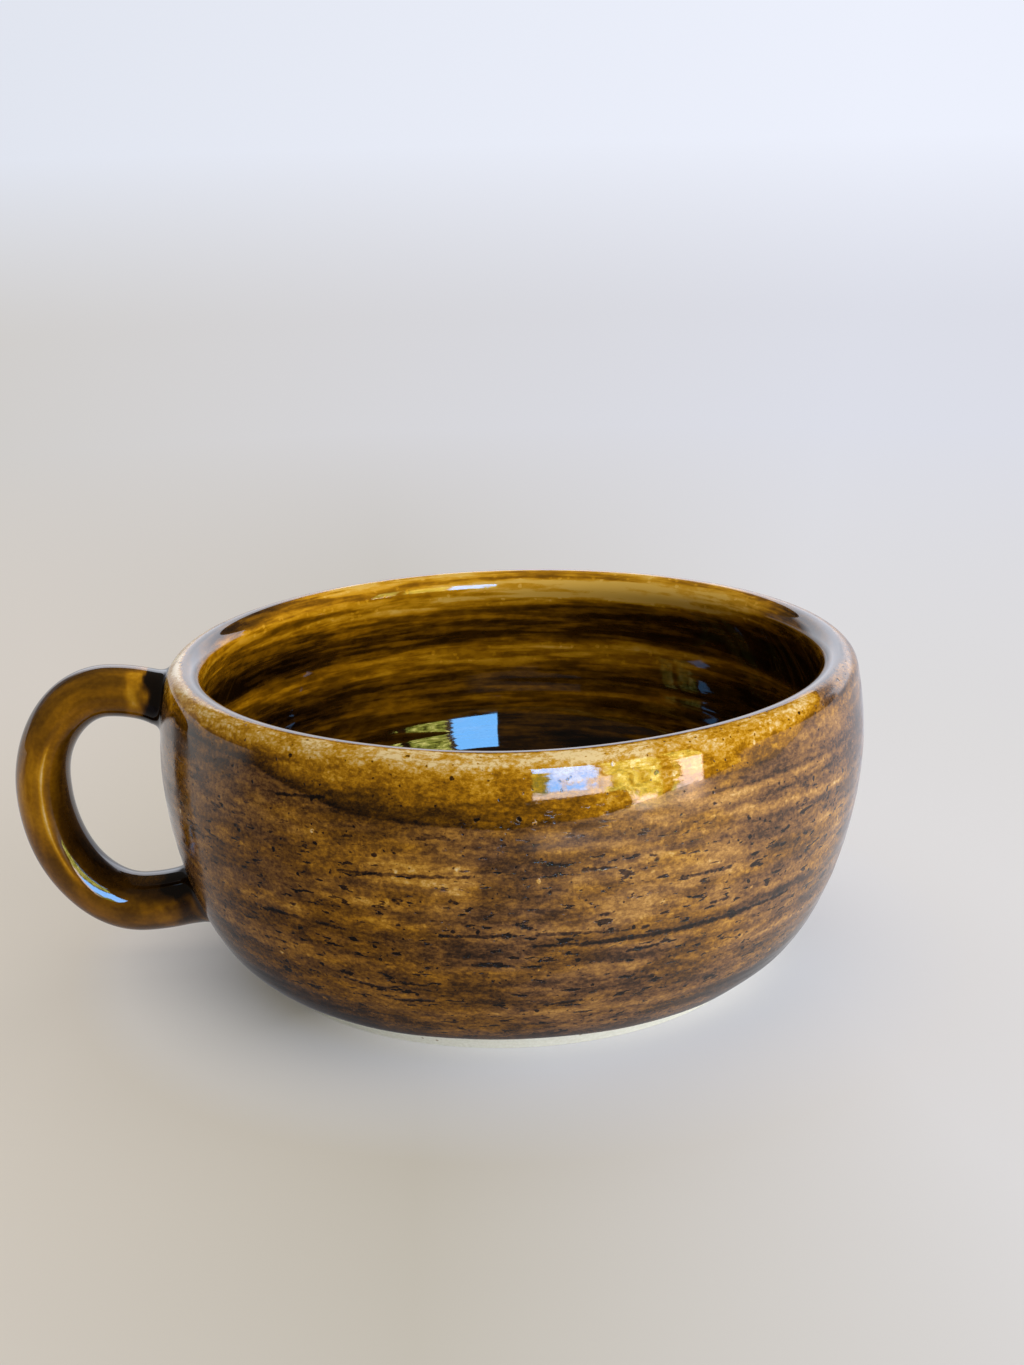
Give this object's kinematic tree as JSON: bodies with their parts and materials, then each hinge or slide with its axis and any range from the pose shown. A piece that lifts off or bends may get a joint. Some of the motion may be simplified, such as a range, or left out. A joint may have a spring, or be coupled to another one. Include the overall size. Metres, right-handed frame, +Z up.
{
  "type": "mug",
  "caption": "Low, wide handled mug with a rounded thrown bowl, bare turned foot ring, pulled loop handle and a glossy glaze inside and out.",
  "frame": {"origin": "middle of the mug's footprint, handle included, on the plane of the table", "axes": "+Z up out of the mouth, -X toward the handle, +Y across; the bowl's own axis is upright at x = 13.9 mm"},
  "size_m": [0.1578, 0.13, 0.0586],
  "materials": {
    "fired_clay": "bare",
    "amber_glaze": "gloss"
  },
  "bodies": {
    "root": {"bowl": "fired_clay", "foot_ring": "fired_clay", "handle_root_upper": "fired_clay", "handle_loop": "fired_clay", "handle_root_lower": "fired_clay", "glaze_inside": "amber_glaze", "glaze_outside": "amber_glaze", "glaze_handle": "amber_glaze"}
  },
  "joints": []
}
